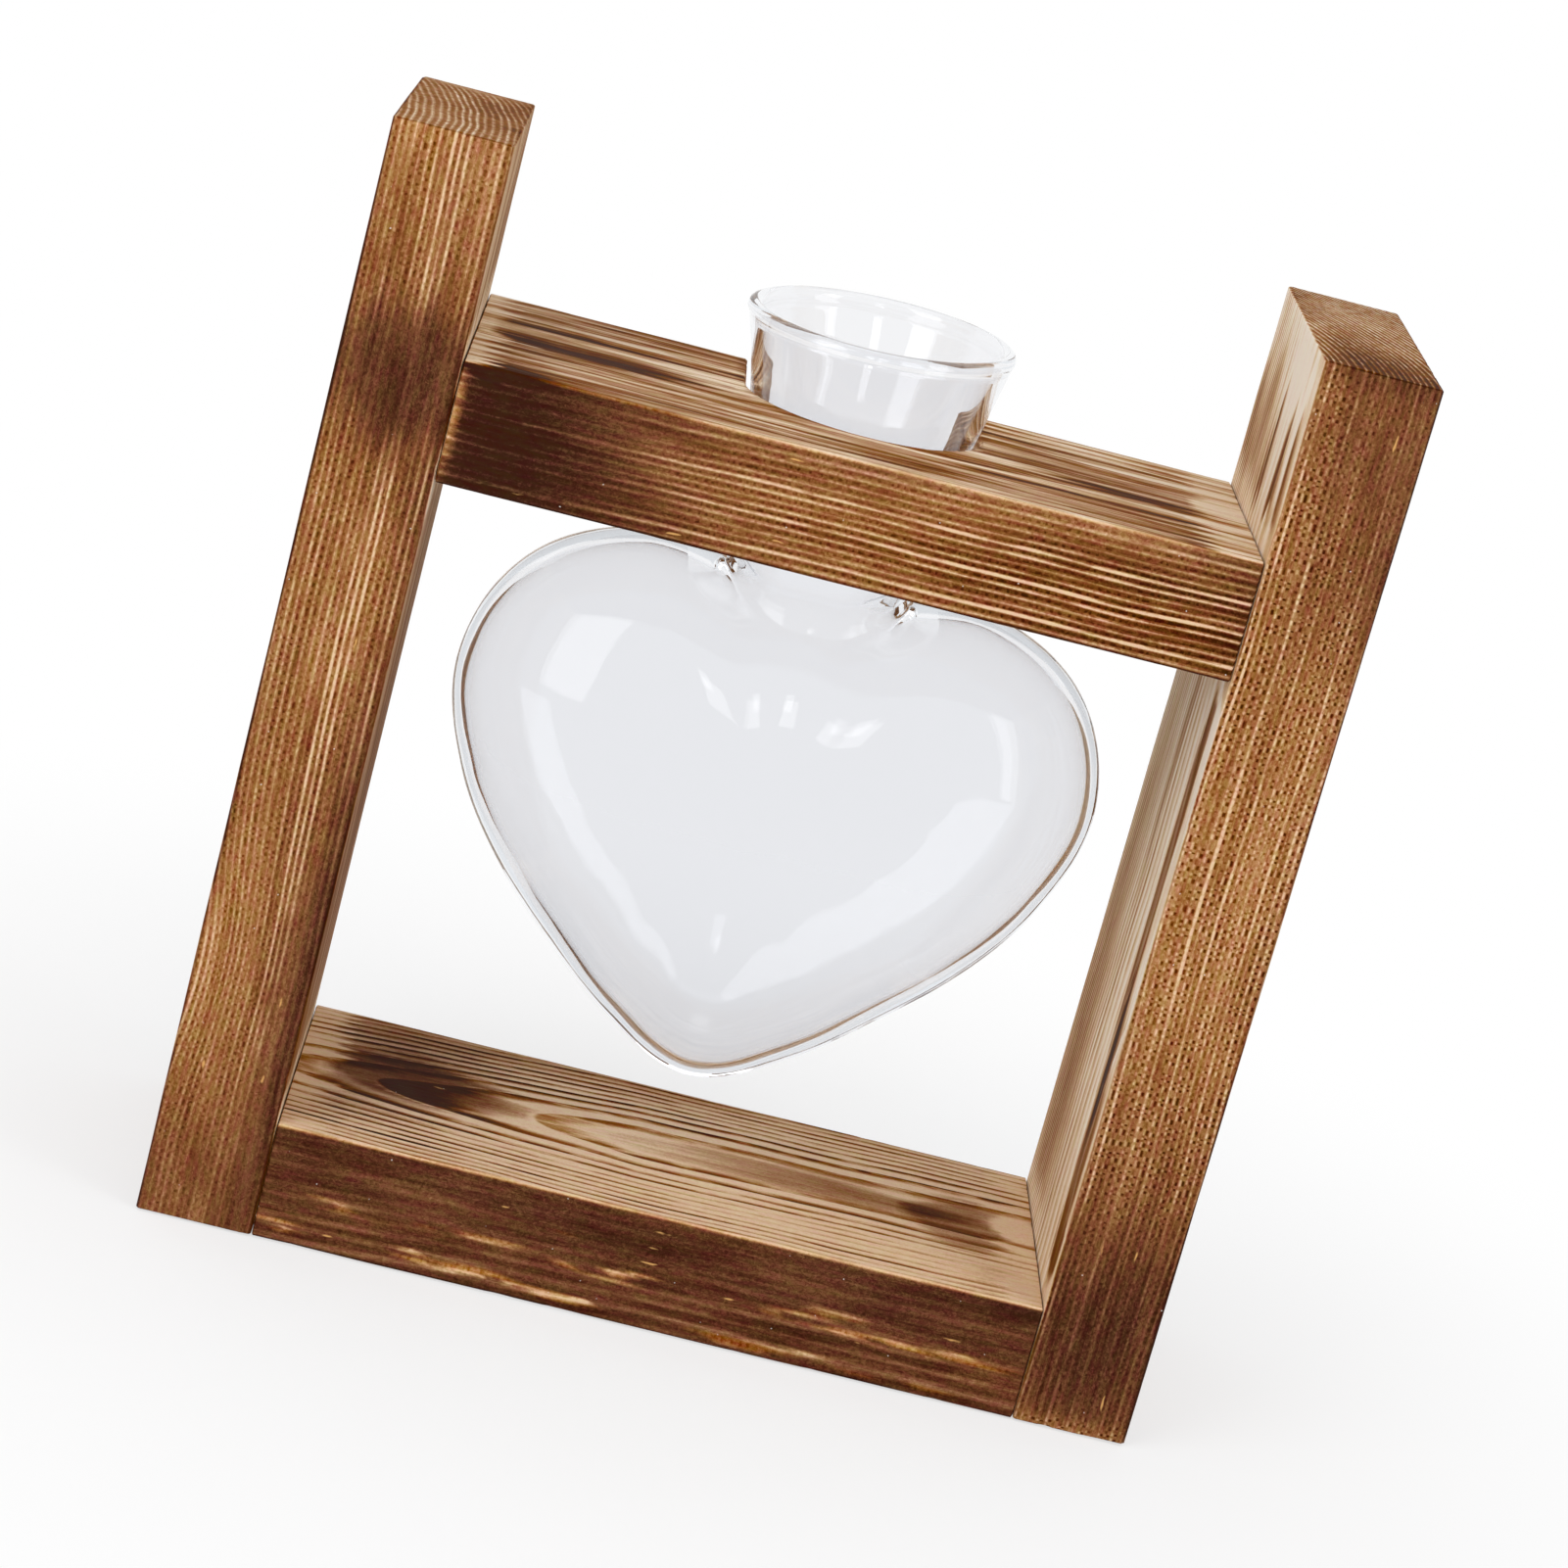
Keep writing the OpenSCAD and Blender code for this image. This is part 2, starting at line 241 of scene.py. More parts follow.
def torched_pine():
    """Flame-browned pine: ring lines on a ground whose tone follows the scorch."""
    material, tree, shader = new_material("torched_pine")
    ring, tone, contrast, stain, limit, dotted, streaky, late = (
        attribute(tree, name) for name in WOOD_ATTRIBUTES)
    grain = attribute(tree, "grain", "Vector")

    # A light line lies on each whole ring count, with a strength of its own, broken here and there
    line = remap(tree, calc(tree, "PINGPONG", ring, 0.5), *LINE_FADE)
    which = calc(tree, "ROUND", ring)
    own = add_node(tree, "TexWhiteNoise", {"noise_dimensions": "1D"}, W=which).outputs["Value"]
    own = calc(tree, "MULTIPLY_ADD", calc(tree, "MULTIPLY", own, own),
               calc(tree, "MULTIPLY_ADD", stain, 0.65, 0.40),
               calc(tree, "MULTIPLY_ADD", stain, -0.32, 0.80))
    broken = remap(tree, noise(tree, stretched(tree, grain, (2.2, 0.6, 0.6)), 1.0, 3.0), 0.3, 0.6)
    broken = calc(tree, "MULTIPLY_ADD", broken, 0.6, 0.4)
    strong = product(tree, line, own, broken)
    after = calc(tree, "FRACT", ring)
    wave = calc(tree, "MULTIPLY_ADD", calc(tree, "SUBTRACT", after, 0.5), 0.30,
                calc(tree, "SUBTRACT", strong, 0.34))

    # Where the wood is bare the dark late wood shows instead, with a sharp outer edge
    dark = product(tree, remap(tree, after, *LATE_RISE), remap(tree, after, *LATE_BREAK), own, broken)
    wave = calc(tree, "MULTIPLY_ADD", late,
                calc(tree, "SUBTRACT", calc(tree, "SUBTRACT", 0.30, dark), wave), wave)

    # On top come streaks, fibre, dots and flecks; dots fade on dark wood and where a line is broken
    fibre = grain_noise(tree, grain, 1.0, 2.4, 3.0, 0.65)
    strand = grain_noise(tree, grain, 1.3, 0.6, 4.0, 0.62, 0.4)
    fleck = grain_noise(tree, grain, 14.0, 1.9, 3.0, 0.75, 1.2)
    level = calc(tree, "MULTIPLY_ADD", contrast, wave, tone)
    level = calc(tree, "MULTIPLY_ADD", strand, streaky, level)
    level = calc(tree, "MULTIPLY_ADD", fibre, FIBRE_SHARE, level)
    level = calc(tree, "SMOOTH_MIN", level, limit, SOFT_CUT)
    dotted = product(tree, dotted, remap(tree, tone, 0.30, 0.48, 0.25, 1.0),
                     remap(tree, broken, 0.45, 0.95, 0.45, 1.35))
    level = calc(tree, "MULTIPLY_ADD", row_dots(tree, grain, ring, line), dotted, level)
    level = calc(tree, "MULTIPLY_ADD", fleck, calc(tree, "MULTIPLY_ADD", stain, 0.30, 0.16), level)
    colour = add_node(tree, "Mix", {"data_type": "RGBA"}, s0=stain, s6=ramp(tree, level, BARE),
                      s7=ramp(tree, level, STAINED)).outputs[2]

    # A dark line on golden wood is warmer than a scorched patch, and the hue drifts a little
    drift = noise(tree, stretched(tree, grain, (6.0, 1.0, 1.0)), 1.1, 3.0, 0.6)
    hue = calc(tree, "MULTIPLY_ADD", drift, 0.10, 0.45)
    warm = calc(tree, "MULTIPLY_ADD", calc(tree, "SUBTRACT", tone, level), 0.5, 1.0)
    warm = calc(tree, "MINIMUM", calc(tree, "MAXIMUM", warm, WARMTH[0]), WARMTH[1])
    scorched = calc(tree, "MULTIPLY", remap(tree, level, 0.55, 0.25, 0.0, 0.25),
                    calc(tree, "SUBTRACT", 1.0, stain))
    warm = calc(tree, "ADD", warm, scorched)
    colour = add_node(tree, "HueSaturation", Hue=hue, Saturation=warm, Color=colour).outputs[0]

    tree.links.new(with_specks(tree, colour, grain, stain), shader.inputs["Base Color"])

    rough = calc(tree, "MULTIPLY_ADD", fibre, 0.3, 0.56)
    tree.links.new(calc(tree, "MULTIPLY_ADD", level, 0.14, rough), shader.inputs["Roughness"])
    shader.inputs["Specular IOR Level"].default_value = 0.02
    height = calc(tree, "MULTIPLY_ADD", fleck, 0.4, calc(tree, "MULTIPLY_ADD", fibre, 0.8, strong))
    bump = add_node(tree, "Bump", Strength=0.35, Distance=0.12 * MM, Height=height)
    tree.links.new(bump.outputs[0], shader.inputs["Normal"])
    return material


def lattice_noise(points, seed):
    """Smooth noise from -1 to 1 at each point, one lattice cell a unit."""
    # The large numbers mix the place of a cell's corner and the seed into a value of its own
    cell = np.floor(points).astype(np.int64)
    part = points - cell
    part = part * part * (3 - 2 * part)
    total = np.zeros(len(points))
    for corner in itertools.product((0, 1), repeat=3):
        at = cell + np.array(corner)
        mixed = (at[:, 0] * 374761393 + at[:, 1] * 668265263 + at[:, 2] * 1274126177
                 + seed * 982451653) & 0xFFFFFFFF
        mixed = ((mixed ^ (mixed >> 13)) * 1103515245) & 0xFFFFFFFF
        value = ((mixed ^ (mixed >> 16)) & 0xFFFF) / 32767.5 - 1
        total += value * np.prod(np.where(corner, part, 1 - part), axis=1)
    return total


def smooth(low, high, value):
    t = np.clip((value - low) / (high - low), 0, 1)
    return t * t * (3 - 2 * t)


# Each timber, with lengths in millimetres:
#   along     the axis that its grain follows
#   pith      the middle of its growth rings on the two axes across, X Y for a post, Y Z for a rail
#   lean      how far the pith moves across for each millimetre along
#   wander    how far the rings wander on those two axes
#   ring      the width of a growth ring
#   seed      picks its noise
# One value for each of its faces, -X +X -Y +Y -Z +Z:
#   tone      the tone of the ground
#   contrast  how strongly the rings show
#   stain     how golden it is, from about 0 for bare wood to 1
#   limit     the palest tone
#   dotted, streaky, late   how strongly the rows of dots, the streaks and the dark late wood show
# Its marks; all but the flames begin with a centre and a reach along each axis:
#   bends     push the rings along the first axis across
#   shades    what each adds to the tone and to the contrast
#   burns     the same, with a sharper edge that runs out in fingers along the grain
#   flames    scorch marks on a post's inner face: middle and half width along Y, foot and tip
#             along Z, and what each adds to the tone
TIMBERS = {
    "left_post": dict(
        along=2, pith=(-300, -25), lean=(0, 0), wander=(0.8, 0.8), ring=1.20, seed=11,
        tone=(0.42, 0.68, 0.485, 0.42, 0.40, 0.48), contrast=(0.3, 0.3, 0.25, 0.3, 0.2, 0.28),
        stain=(1, 0.1, 1, 1, 1, 0.1), limit=(0.86, 0.86, 0.86, 0.86, 0.86, 0.86),
        dotted=(0, 0, 0.09, 0.06, 0, 0), streaky=(0.3, 0.5, 0.3, 0.3, 0.3, 0.3),
        late=(0, 0.6, 0, 0, 0, 0),
        bends=[((-83, -28, 44), (9, 60, 20), 3.4)], flames=[],
        shades=[((-70, -28, 146), (14, 8, 11), -0.11, -0.10), ((-70, -28, 136), (10, 8, 9), -0.05, -0.1),
                ((-65, -28, 126), (4, 8, 7), -0.08, 0), ((-82, -28, 148), (3, 8, 8), -0.03, 0),
                ((-73, -28, 178), (12, 8, 13), 0.05, 0), ((-65, -28, 36), (6, 8, 46), -0.12, -0.16),
                ((-73, -28, 6), (16, 8, 17), -0.08, -0.14), ((-80, -28, 48), (5, 8, 24), 0.05, 0.06),
                ((-76, -28, 100), (8, 8, 26), 0.05, 0.04), ((-64, 4, 64), (3, 40, 56), -0.30, -0.05),
                ((-64, 20, 168), (3, 12, 18), -0.14, 0), ((-73, 27, 181), (12, 3.5, 3), 0.04, -0.3),
                ((-78, -18, 181), (6, 14, 3), 0.07, 0.1), ((-68, 6, 181), (5, 12, 3), -0.08, 0)],
        burns=[((-64, -10, 170), (3, 3, 22), -0.12, 0), ((-64, 8, 160), (3, 4, 16), -0.16, 0),
               ((-70, -28, 144), (15, 8, 11), -0.11, -0.10)]),
    "right_post": dict(
        along=2, pith=(0, -30), lean=(0, 0), wander=(0.6, 0.6), ring=1.12, seed=23,
        # Its inner face (-X) has a tone and a palest tone above bare wood's: painted light that makes up
        # for the half shade on that face
        tone=(0.95, 0.42, 0.520, 0.42, 0.40, 0.51), contrast=(0.30, 0.3, 0.27, 0.3, 0.2, 0.62),
        stain=(0.15, 1, 1, 1, 1, -0.2), limit=(0.97, 0.86, 0.86, 0.86, 0.86, 0.86),
        dotted=(0, 0, 0.18, 0.06, 0, 0), streaky=(0.3, 0.3, 0.25, 0.3, 0.3, 0.3),
        late=(0.6, 0, 0, 0, 0, 0.3), bends=[],
        flames=[(-1.0, 3.4, 150.0, 176, -0.55), (-14.5, 3.0, 150.0, 175, -0.72),
                (-23.0, 3.6, 150.0, 174, -0.52), (25, 6, 150.0, 176, -0.34), (12, 8, 151, 180, -0.30),
                (4, 2, 151, 184, -0.16)],
        shades=[((74, -28, 172), (16, 8, 14), -0.15, -0.18), ((78, -28, 150), (9, 8, 15), -0.14, -0.10),
                ((76, -28, 16), (14, 8, 28), -0.29, -0.20), ((66, -28, 12), (4, 8, 20), -0.08, 0),
                ((73, -28, 0), (16, 8, 2.2), 0.18, 0), ((72, -28, 92), (8, 8, 24), 0.06, 0.04),
                ((82, -28, 100), (2, 8, 60), -0.06, 0), ((65, -28, 134), (3, 8, 18), 0.03, 0.22),
                ((69, -20, 181), (9, 12, 3), -0.19, 0), ((80, -24, 181), (6, 10, 3), -0.12, 0),
                ((76, 14, 181), (10, 10, 3), 0.05, 0),
                ((64, 20, 166), (3, 13, 20), -0.12, 0.1), ((64, 18, 74), (3, 13, 60), -0.32, 0.05),
                ((64, -6, 74), (3, 8, 56), -0.14, 0.35), ((64, -12, 178), (3, 17, 10), 0.12, 0),
                ((64, 16, 44), (3, 16, 34), -0.16, 0.1), ((64, 0, 28), (3, 34, 24), -0.12, 0)],
        burns=[((64, -19.5, 92), (3, 3.6, 50), -0.54, 0), ((64, -22, 40), (3, 4.4, 36), -0.46, 0),
               ((64, 2, 110), (3, 2.4, 26), -0.26, 0)]),
    "upper_rail": dict(
        along=0, pith=(3, 84), lean=(0, 0), wander=(2.4, 0.5), ring=1.12, seed=37,
        tone=(0.5, 0.5, 0.445, 0.42, 0.42, 0.52), contrast=(0.2, 0.2, 0.38, 0.3, 0.3, 0.60),
        stain=(0.3, 0.3, 1, 1, 1, 0), limit=(0.86, 0.86, 0.86, 0.86, 0.86, 0.84),
        dotted=(0, 0, 0.07, 0.06, 0.06, 0), streaky=(0.3, 0.3, 0.3, 0.3, 0.3, 1.3),
        late=(0, 0, 0, 0, 0, 0.6), bends=[], flames=[],
        shades=[((-60, -28, 138), (25, 7, 30), -0.25, -0.28), ((-40, -28, 138), (18, 7, 30), -0.08, -0.14),
                ((44, -28, 136), (34, 7, 7), 0.05, 0.30), ((64, -28, 140), (5, 7, 18), -0.06, 0.05),
                ((20, -28, 148), (60, 7, 2.6), -0.02, -0.32), ((6, -28, 136), (30, 7, 16), 0.05, -0.04),
                ((-40, 26, 148), (24, 5, 3), -0.10, -0.1), ((44, 24, 148), (20, 6, 3), 0.22, -0.1),
                ((30, -21, 148), (34, 4, 3), -0.04, -0.10), ((-30, -16, 148), (26, 4, 3), 0.08, -0.24),
                ((54, 10, 148), (14, 9, 3), 0.08, 0), ((-48, 5.5, 148), (22, 1.6, 3), 0.16, -0.1),
                ((-58, 23.5, 148), (9, 1.2, 3), 0.26, 0), ((-24, -26.5, 148), (40, 1.2, 3), 0.22, -0.1),
                ((-48, 12.5, 148), (22, 1.0, 3), 0.16, 0), ((40, -11, 148), (30, 1.2, 3), 0.16, 0),
                ((4, -24, 148), (30, 3, 3), -0.05, 0), ((-63.5, -28, 138), (1.3, 6, 8), 0.40, 0),
                ((-56, -28, 139), (9, 7, 30), -0.07, 0.1)],
        burns=[((-63.5, -28, 138), (1.5, 6, 13), 0.22, 0), ((-44, -2, 148), (17, 4.4, 3), -0.30, -0.2),
               ((-56, -2, 148), (7, 4.4, 3), -0.10, -0.1),
               ((-60, -26.5, 148), (12, 2.6, 3), -0.36, -0.1),
               ((43, -3, 148), (10, 2.4, 3), -0.24, -0.1), ((36, 1, 148), (24, 1.2, 3), -0.14, -0.1),
               ((44, -13, 148), (26, 1.2, 3), -0.20, 0), ((-42, 9.6, 148), (22, 1.1, 3), -0.26, 0),
               ((36, 17.5, 148), (20, 1.0, 3), -0.16, 0), ((36, 4.3, 148), (22, 0.9, 3), -0.20, 0),
               ((58, -27, 148), (10, 1.6, 3), -0.20, 0)]),
    "lower_rail": dict(
        along=0, pith=(1.5, -10.69), lean=(0, 0.049), wander=(1.3, 0.22), ring=1.10, seed=53,
        tone=(0.5, 0.5, 0.260, 0.35, 0.40, 0.705), contrast=(0.2, 0.2, 0.06, 0.3, 0.3, 0.80),
        stain=(0.3, 0.3, 1, 1, 1, 0.5), limit=(0.86, 0.86, 0.86, 0.86, 0.86, 0.83),
        dotted=(0, 0, 0.05, 0.06, 0.06, 0), streaky=(0.3, 0.3, 0.35, 0.3, 0.3, 0.35),
        late=(0, 0, 0, 0, 0, 1), bends=[], flames=[],
        shades=[((0, -28, 18), (90, 6, 5), -0.02, -0.08), ((52, -28, 4), (24, 6, 5), 0.04, 0.16),
                ((14, -28, 5.5), (16, 6, 4), 0.02, 0.12), ((-30, -28, 4.5), (36, 6, 4.5), 0.02, 0.12),
                ((0, 27, 20), (80, 6.5, 3), -0.10, -0.52), ((-50, 18, 20), (20, 12, 3), -0.26, -0.10),
                ((-52, -10, 20), (18, 14, 3), -0.20, 0.05), ((28, 1, 20), (26, 6.5, 3), -0.14, -0.46),
                ((24, -20, 20), (38, 7, 3), 0.08, -0.40), ((60, -22, 20), (7, 8, 3), -0.20, -0.2),
                ((-22, 1, 20), (9, 6, 3), 0.06, -0.40), ((56, -19, 20), (13, 9, 3), 0.06, -0.5),
                ((-44, 12, 20), (20, 12, 3), -0.13, 0.1), ((-18, 20, 20), (34, 8, 3), -0.10, 0.20)],
        burns=[((-44, 4.0, 20), (17, 9.5, 3), -0.36, -0.35), ((51, -0.5, 20), (9.5, 10.5, 3), -0.27, -0.3),
               ((18, 1.0, 20), (30, 5.0, 3), -0.15, -0.2), ((-53, -28, 8.4), (5, 6, 0.9), 0.36, 0.30),
               ((-29, -28, 9.0), (10, 6, 0.8), 0.32, 0.35), ((-7, -28, 8.4), (10, 6, 1.0), 0.50, 0.40),
               ((26, -28, 8.4), (7, 6, 0.9), 0.40, 0.35), ((40, -28, 7.6), (9, 6, 1.1), 0.50, 0.40),
               ((55, -28, 8.2), (9, 6, 0.8), 0.36, 0.40), ((30, -28, 10.4), (9, 6, 0.7), 0.26, 0.35),
               ((-61, -28, 3.0), (5, 6, 1.0), 0.50, 0.40), ((-32, -28, 3.2), (12, 6, 1.0), 0.50, 0.40),
               ((-15, -28, 2.2), (10, 6, 0.8), 0.38, 0.35), ((20, -28, 1.9), (16, 6, 0.8), 0.36, 0.35),
               ((44, -28, 1.6), (10, 6, 0.7), 0.30, 0.30), ((-17, -28, 13.7), (5, 6, 0.6), 0.20, 0.30)]),
}
# Where the lower rail's pith stops leaning, along X
LEAN_TO = -5
# From the first to the second of these places along Y the rings of a rail come to wander freely
CALM_FRONT = (-29, -12)
# How the rings drift: length of the slow drift, length, breadth and size of the quick one
SLOW_LONG, QUICK_LONG, QUICK_WIDE, QUICK_SIZE = 46, 15, 9, 0.20
# How their widths vary: over what distance from the pith, and by how many rings
WIDTH_SPAN, WIDTH_SIZE = 4.7, 0.40
# Breadth and length of the streaks and of the broader patches in the wood
STREAK, PATCH = (1.3, 22.0), (7.0, 26.0)
# The material's grain runs this much slower along the timber than across it
GRAIN_STRETCH = 0.05


def ring_count(points, timber):
    """Growth rings counted out from the pith at each point, in millimetres."""
    along, seed = timber["along"], timber["seed"]
    across = [a for a in range(3) if a != along]
    run = points[:, along]
    calm = 1.0 if along == 2 else 0.2 + 0.8 * smooth(*CALM_FRONT, points[:, 1])
    off = []
    for k, axis in enumerate(across):
        slow = np.stack([run / SLOW_LONG, 0 * run + 3.7 * k, 0 * run], -1)
        sides = (points[:, a] / QUICK_WIDE for a in across)
        quick = np.stack([run / QUICK_LONG, *sides], -1)
        drift = timber["wander"][k] * calm * lattice_noise(slow, seed + k)
        drift += QUICK_SIZE * lattice_noise(quick, seed + 7 + k)
        leaned = timber["pith"][k] + timber["lean"][k] * np.minimum(run, LEAN_TO)
        off.append(points[:, axis] - leaned + drift)
    for centre, reach, push in timber["bends"]:
        off[0] -= push * np.exp(-(((points - centre) / reach) ** 2).sum(1))
    radius = np.hypot(*off)
    uneven = np.stack([radius / WIDTH_SPAN, 0 * run, 0 * run], -1)
    return radius / timber["ring"] + WIDTH_SIZE * lattice_noise(uneven, seed + 20)


def face_blend(values, normals):
    """The value of the face that each normal points to, blended over the arrises."""
    sides = np.where(normals > 0, np.array(values)[1::2], np.array(values)[0::2])
    return (normals ** 2 * sides).sum(1)


def bare_corner(points, normals, rings, timber, tone):
    """Tone with the corners by the joints left pale, in fingers that follow the grain."""
    seed = timber["seed"]
    if timber["along"] == 0:
        gap = POST_INNER_X - np.abs(points[:, 0])
        shown = np.clip(normals[:, 2], 0, 1)
        upper = points[:, 2].mean() > RAIL_TOP / 2
        left, right = BARE_ON_UPPER_RAIL if upper else BARE_ON_LOWER_RAIL
        width = np.where(points[:, 0] > 0, right, left)
    else:
        joints = (LOWER_RAIL_TOP, RAIL_TOP - RAIL_THICK, RAIL_TOP)
        gap = np.minimum.reduce([np.abs(points[:, 2] - z) for z in joints])
        shown = np.clip(-normals[:, 0] * np.sign(points[:, 0]), 0, 1)
        width = np.full(len(gap), BARE_ON_POST)
    line = 1 - smooth(0.05, 0.45, np.abs(rings - np.round(rings)))
    # The bare wood reaches further along the light lines, and its edge is ragged
    rag = lattice_noise(points / 5.0, seed + 31) * 1.2 + lattice_noise(points / 1.6, seed + 32) * 0.5
    reach = width + 3.0 * line + rag
    bare = (1 - smooth(reach - 0.6, reach + 2.4, gap)) * smooth(0.5, 0.9, shown)
    return tone * (1 - bare) + BARE_TONE * bare


def per_axis(timber, across, along):
    """A number for each axis: one across the timber's grain, another along it."""
    numbers = np.full(3, across)
    numbers[timber["along"]] = along
    return numbers


def mark_wood(points, normals, rings, timber, tone, contrast):
    """Tone and contrast with the timber's shades, burns, flames and natural unevenness added."""
    seed = timber["seed"]
    streak, patch = per_axis(timber, *STREAK), per_axis(timber, *PATCH)
    fingers = (0.30 * (0.5 - (rings - np.floor(rings)))
               + 0.16 * lattice_noise(points / streak, seed + 42))
    ragged = lattice_noise(points / (0.2 * streak + 0.4), seed + 45)
    for kind in ("shades", "burns"):
        for centre, reach, lighter, bolder in timber[kind]:
            weight = np.exp(-(((points - centre) / reach) ** 2).sum(1))
            if kind == "burns":
                weight = smooth(0.22, 0.62, weight + fingers * smooth(0.02, 0.3, weight))
                if lighter > 0:
                    weight *= smooth(-0.45, 0.35, ragged)
            tone += lighter * weight
            contrast += bolder * weight
    inner = np.clip(-normals[:, 0] * np.sign(points[:, 0]), 0, 1)
    for middle, half, foot, tip, lighter in timber["flames"]:
        up = (points[:, 2] - foot) / (tip - foot) + 0.25 * fingers
        narrow = half * np.clip(1 - up, 0.02, 1) ** 0.7
        weight = np.exp(-((points[:, 1] - middle + 4 * fingers) / narrow) ** 2)
        weight *= smooth(-0.06, 0.04, up) * (1 - smooth(0.6, 1.0, up)) * inner
        tone += lighter * weight
    tone += 0.030 * lattice_noise(points / patch, seed + 40)
    tone += 0.022 * lattice_noise(points / patch * 2.7, seed + 41)
    tone += 0.026 * lattice_noise(points / streak, seed + 43)
    contrast *= 1 + 0.35 * lattice_noise(points / (2 * streak), seed + 44)
    return tone, np.clip(contrast, 0.03, 1)


def dress_wood(obj, points, normals, timber):
    """Gives a timber's mesh its grain relief and the attributes that its material reads."""
    along, seed = timber["along"], timber["seed"]
    rings = ring_count(points, timber)
    value = {name: face_blend(timber[name], normals) for name in WOOD_ATTRIBUTES[1:]}
    tone, contrast = mark_wood(points, normals, rings, timber, value["tone"], value["contrast"])

    # Worn arrises, 1 in the middle of one and 0 on a face: pale on a rail's upper front edge, else dark
    squares = np.sort(normals ** 2, axis=1)
    arris = np.clip(4 * squares[:, 1] * squares[:, 2], 0, 1)
    wear = lattice_noise(points / 6.0, seed + 50)
    front_top = (normals[:, 1] < -0.2) & (normals[:, 2] > 0.2)
    edge_tone = np.where(front_top & (along == 0), 0.26, -0.18)
    tone += arris * (edge_tone + 0.08 * wear)
    tone = bare_corner(points, normals, rings, timber, tone)

    # Relief: the light lines stand proud, the arrises are chipped here and there
    line = 1 - smooth(0.05, 0.35, np.abs(rings - np.round(rings)))
    chip = smooth(0.35, 0.9, lattice_noise(points / 2.3, seed + 60))
    sink = RELIEF * (1 - line) * np.clip(0.3 + 1.6 * contrast, 0, 1)
    sink += UNEVEN * (1 + lattice_noise(points / 11.0, seed + 61))
    sink += arris * CHIP * chip
    placed = points - normals * sink[:, None]

    grain = points.copy()
    grain[:, along] *= GRAIN_STRETCH
    grain = np.roll(grain, -along, axis=1) + seed * 3.1
    mesh = obj.data
    mesh.vertices.foreach_set("co", (placed * MM).astype(np.float32).ravel())
    value.update(ring=rings, tone=tone, contrast=contrast)
    for name in WOOD_ATTRIBUTES:
        made = mesh.attributes.new(name, "FLOAT", "POINT")
        made.data.foreach_set("value", value[name].astype(np.float32))
    made = mesh.attributes.new("grain", "FLOAT_VECTOR", "POINT")
    made.data.foreach_set("vector", grain.astype(np.float32).ravel())
    mesh.shade_smooth()
    mesh.update()


def grid_lines(low, high, step, ease):
    """Grid lines from low to high, close together over the eased arris at each end."""
    count = max(2, round((high - low - 2 * ease) / step) + 1)
    near = ease * np.array([0.0, 0.35, 0.7])
    return np.concatenate([low + near, np.linspace(low + ease, high - ease, count),
                           high - near[::-1]])


def box_skin(lines):
    """Points and outward quads of a box's skin on grid lines along the three axes."""
    size = [len(line) for line in lines]
    quads = []
    for axis in range(3):
        u, v = (axis + 1) % 3, (axis + 2) % 3
        for side in (0, 1):
            i, j = np.meshgrid(np.arange(size[u]), np.arange(size[v]), indexing="ij")
            index = [None] * 3
            index[u], index[v] = i, j
            index[axis] = np.full_like(i, side * (size[axis] - 1))
            key = (index[0] * size[1] + index[1]) * size[2] + index[2]
            face = np.stack([key[:-1, :-1], key[1:, :-1], key[1:, 1:], key[:-1, 1:]], -1)
            face = face.reshape(-1, 4)
            quads.append(face if side else face[:, ::-1])
    used, quads = np.unique(np.concatenate(quads), return_inverse=True)
    steps = [used // (size[1] * size[2]), used // size[2] % size[1], used % size[2]]
    points = np.stack([lines[k][steps[k]] for k in range(3)], -1)
    return points, quads.reshape(-1, 4)


def new_mesh(name, points, faces):
    """A mesh object from points in millimetres."""
    mesh = bpy.data.meshes.new(name)
    mesh.from_pydata((np.asarray(points) * MM).tolist(), [], [list(f) for f in faces])
    mesh.update()
    obj = bpy.data.objects.new(name, mesh)
    bpy.context.scene.collection.objects.link(obj)
    return obj


def timber_blank(node, timber):
    """The timber's box on a grid that is fine across the grain, with eased arrises."""
    low, high = (np.array(corner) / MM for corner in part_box(node))
    ease = per_axis(timber, ARRIS, END_ARRIS)
    step = per_axis(timber, GRID_ACROSS, GRID_ALONG)
    points, quads = box_skin([grid_lines(low[k], high[k], step[k], ease[k]) for k in range(3)])
    core = np.clip(points, low + ease, high - ease)
    out = (points - core) / ease
    normals = out / np.linalg.norm(out, axis=1, keepdims=True)
    return core + normals * ease, quads, normals, low, high


def saw_top(points, low, high, front_drop, back_drop):
    """Lowers a post's points, more the higher they lie, so that its sawn top slopes."""
    depth = (points[:, 1] - low[1]) / (high[1] - low[1])
    drop = front_drop + (back_drop - front_drop) * depth
    share = (points[:, 2] - low[2]) / (high[2] - low[2])
    leaned = points.copy()
    leaned[:, 2] -= drop * share
    return leaned


